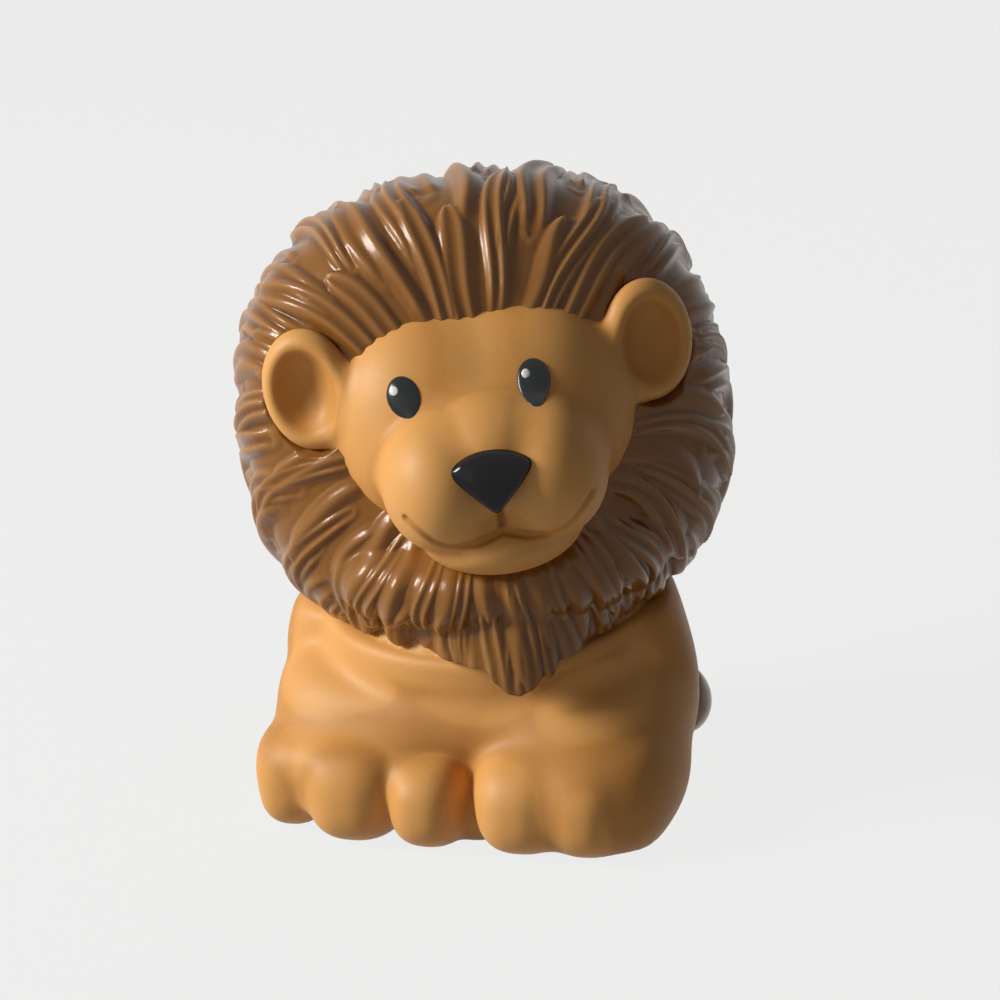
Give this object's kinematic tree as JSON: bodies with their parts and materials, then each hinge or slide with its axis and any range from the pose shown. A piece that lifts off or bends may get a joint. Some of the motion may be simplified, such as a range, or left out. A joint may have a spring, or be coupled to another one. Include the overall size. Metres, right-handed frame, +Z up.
{
  "type": "toy wild animal figure",
  "caption": "Chunky moulded toy lion lying with its paws forward: glossy brown mane, round cup ears, black eyes and nose, and a big head that turns on its neck.",
  "frame": {"origin": "on the ground under the trunk, in the body's mid-plane, at the base plate's middle", "axes": "+Z up; the body faces -Y, so the lion's left side is +X"},
  "size_m": [0.047, 0.0438, 0.0615],
  "materials": {
    "tan_vinyl": "satin",
    "brown_vinyl": "glossy",
    "black_gloss": "glossy",
    "white_gloss": "glossy",
    "neck_plastic": "moulded"
  },
  "bodies": {
    "body": {"body_shell": "tan_vinyl", "base_plate": "tan_vinyl", "tail": "tan_vinyl", "tail_tuft": "brown_vinyl"},
    "head": {"face": "tan_vinyl", "mane_front": "brown_vinyl", "mane_back": "brown_vinyl", "nose": "black_gloss", "left_eye": "black_gloss", "right_eye": "black_gloss", "left_eye_glint": "white_gloss", "right_eye_glint": "white_gloss", "neck_spindle": "neck_plastic", "neck_clip": "neck_plastic"}
  },
  "joints": [
    {"name": "head_turn", "type": "hinge", "parent": "body", "child": "head", "pos_m": [0, -0.0017, 0.0222], "axis": [0, -0.1392, 0.9903], "range_deg": [-65, 25]}
  ]
}
